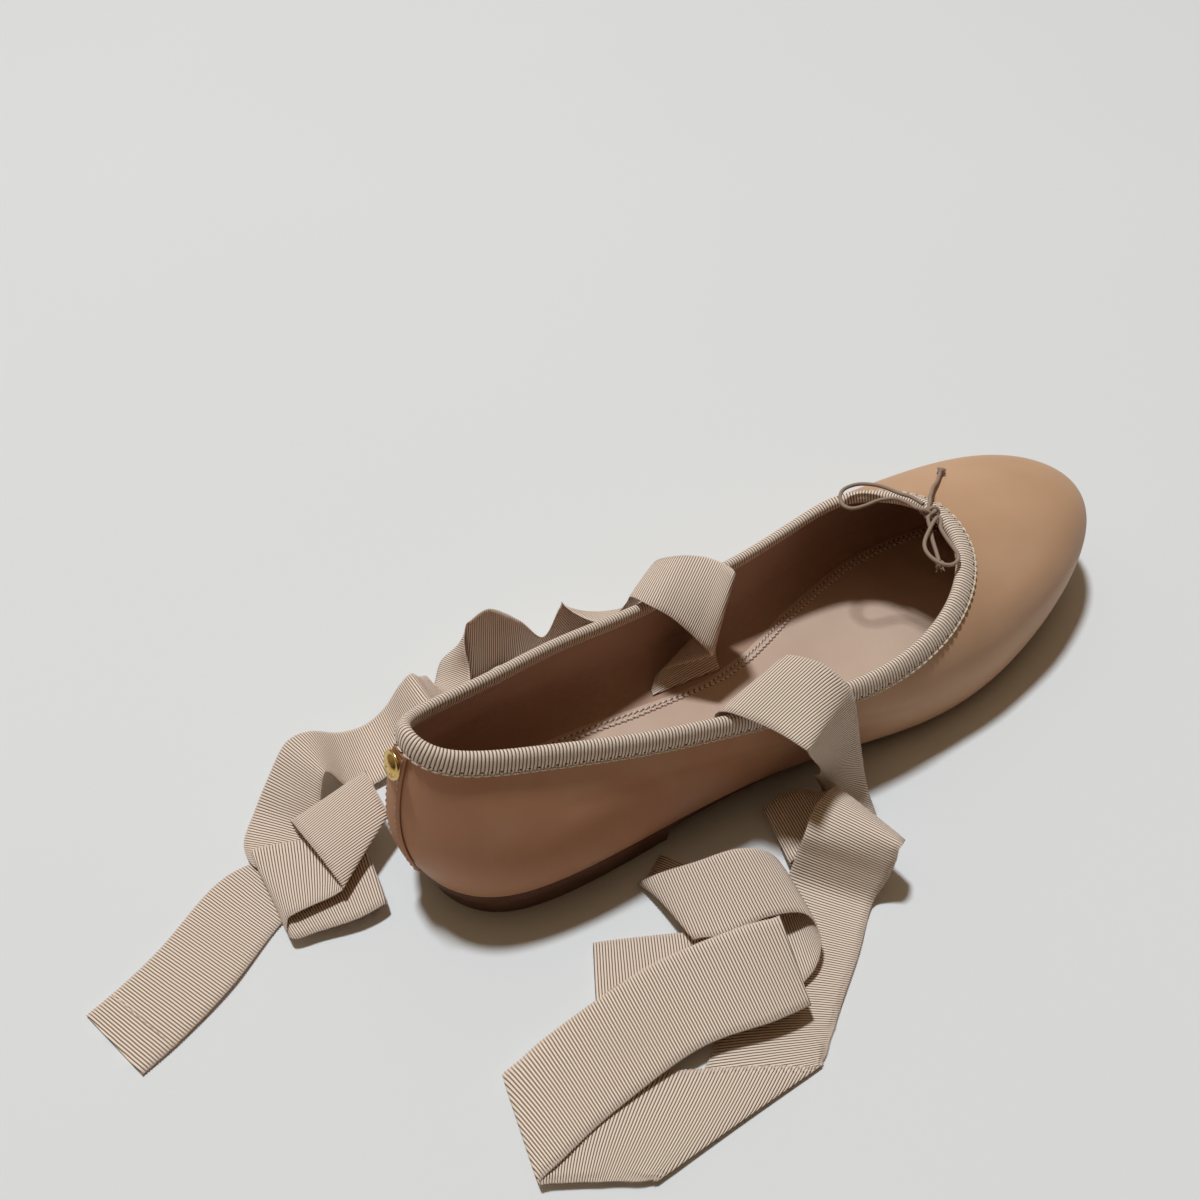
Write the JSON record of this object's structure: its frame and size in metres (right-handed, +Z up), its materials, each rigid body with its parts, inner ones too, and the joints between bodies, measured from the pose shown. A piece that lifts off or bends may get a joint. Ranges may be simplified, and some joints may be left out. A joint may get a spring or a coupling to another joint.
{
  "type": "lace-up ballet flat",
  "caption": "Low leather ballet flat for the right foot, with a ribbed bound topline, a drawstring bow and long ribbed ankle ribbons lying loose.",
  "frame": {"origin": "on the floor, under the middle of the shoe's box without the ribbons and the bow", "axes": "+X towards the toe, +Y towards the inner side of the foot, +Z up"},
  "size_m": [0.3403, 0.177, 0.0638],
  "materials": {
    "upper_leather": "smooth nude calf with a soft sheen",
    "ribbed_ribbon": "matt cross-ribbed ribbon",
    "elastic_cord": "matt round elastic drawstring",
    "gilt_stud": "polished",
    "lining": "matt smooth lining",
    "sole_leather": "dark stained, burnished edge"
  },
  "bodies": {
    "root": {"upper": "upper_leather", "heel_strip": "upper_leather", "topline_binding": "ribbed_ribbon", "heel_stud": "gilt_stud", "insole": "lining", "outsole": "sole_leather", "heel": "sole_leather", "tie_lateral": "ribbed_ribbon", "tie_medial": "ribbed_ribbon", "bow_knot": "elastic_cord", "bow_loop_medial": "elastic_cord", "bow_loop_lateral": "elastic_cord", "bow_end_medial": "elastic_cord", "bow_end_lateral": "elastic_cord", "end_knot_medial": "elastic_cord", "end_knot_lateral": "elastic_cord"}
  },
  "joints": []
}
